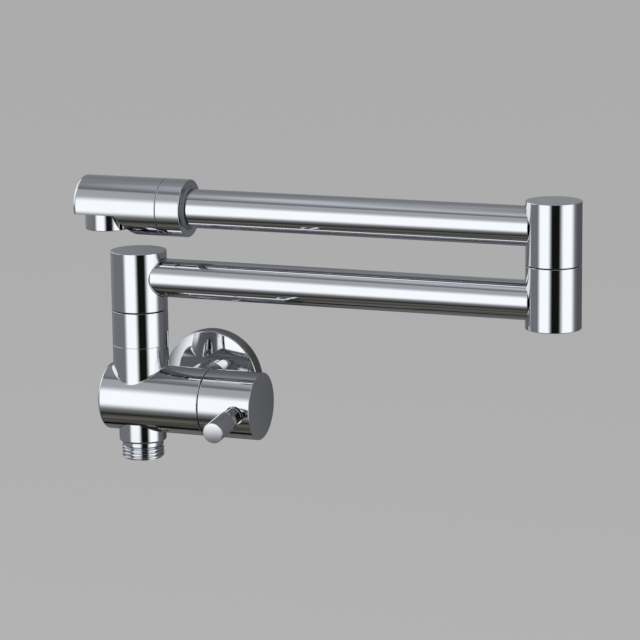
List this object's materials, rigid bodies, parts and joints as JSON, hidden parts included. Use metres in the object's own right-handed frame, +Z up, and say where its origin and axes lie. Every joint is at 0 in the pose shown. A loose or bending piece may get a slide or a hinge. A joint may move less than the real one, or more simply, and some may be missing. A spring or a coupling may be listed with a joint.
{
  "type": "wall mounted pot filler",
  "caption": "Chromed pot filler tap with a round wall flange, a quarter-turn lever, folding swivel arms, a turning spout with an aerator and a lower threaded hose outlet.",
  "frame": {"origin": "centre of the wall flange's back face, on the inlet's axis", "axes": "+Y into the wall along the inlet nipple, -Y towards the user, +Z up, +X along the folded lower arm from the shoulder to the knuckle"},
  "size_m": [0.2551, 0.1095, 0.1414],
  "materials": {
    "chrome": "mirror polished chrome plate",
    "bare_brass": "turned, unplated",
    "stainless": "bright stainless steel",
    "black_rubber": "smooth",
    "ceramic": "ground ceramic",
    "dark_plastic": "plain bearing plastic",
    "grey_plastic": "moulded"
  },
  "bodies": {
    "valve": {"wall_flange": "chrome", "flange_ring": "black_rubber", "inlet_nipple": "bare_brass", "inlet_washer": "black_rubber", "valve_body": "chrome", "outlet_spigot": "chrome", "outlet_seal": "black_rubber", "cartridge_foot": "black_rubber", "fixed_disc": "ceramic", "cartridge_shell": "bare_brass", "cartridge_nut": "bare_brass", "shoulder_ring": "chrome", "shoulder_washer": "dark_plastic"},
    "handle": {"handle_hub": "chrome", "handle_lever": "chrome", "handle_screw": "stainless", "cartridge_spindle": "bare_brass", "moving_disc": "ceramic", "spindle_rings": "black_rubber", "spindle_clip": "stainless"},
    "lower_arm": {"shoulder_head": "chrome", "shoulder_spigot": "bare_brass", "shoulder_rings": "black_rubber", "shoulder_clip": "stainless", "lower_arm_tube": "chrome", "knuckle_lower": "chrome", "knuckle_bush": "bare_brass", "knuckle_washer": "dark_plastic"},
    "upper_arm": {"knuckle_upper": "chrome", "knuckle_spigot": "bare_brass", "knuckle_rings": "black_rubber", "knuckle_clip": "stainless", "upper_arm_tube": "chrome", "spout_spigot": "bare_brass", "spout_rings": "black_rubber"},
    "spout": {"spout_head": "chrome", "spout_collar": "chrome", "spout_bush": "grey_plastic", "aerator_housing": "chrome", "aerator_core": "grey_plastic", "aerator_screen": "stainless", "aerator_seal": "black_rubber"}
  },
  "joints": [
    {"name": "shoulder_swivel", "type": "hinge", "parent": "valve", "child": "lower_arm", "pos_m": [-0.018, -0.052, 0.0595], "axis": [0, 0, 1], "range_deg": [-188, 8]},
    {"name": "knuckle_swivel", "type": "hinge", "parent": "lower_arm", "child": "upper_arm", "pos_m": [0.195, -0.052, 0.0792], "axis": [0, 0, 1], "continuous": true},
    {"name": "spout_turn", "type": "hinge", "parent": "upper_arm", "child": "spout", "pos_m": [-0.018, -0.052, 0.0968], "axis": [1, 0, 0], "range_deg": [-90, 90]},
    {"name": "handle_turn", "type": "hinge", "parent": "valve", "child": "handle", "pos_m": [0.0325, -0.052, 0], "axis": [1, 0, 0], "range_deg": [-90, 90]}
  ]
}
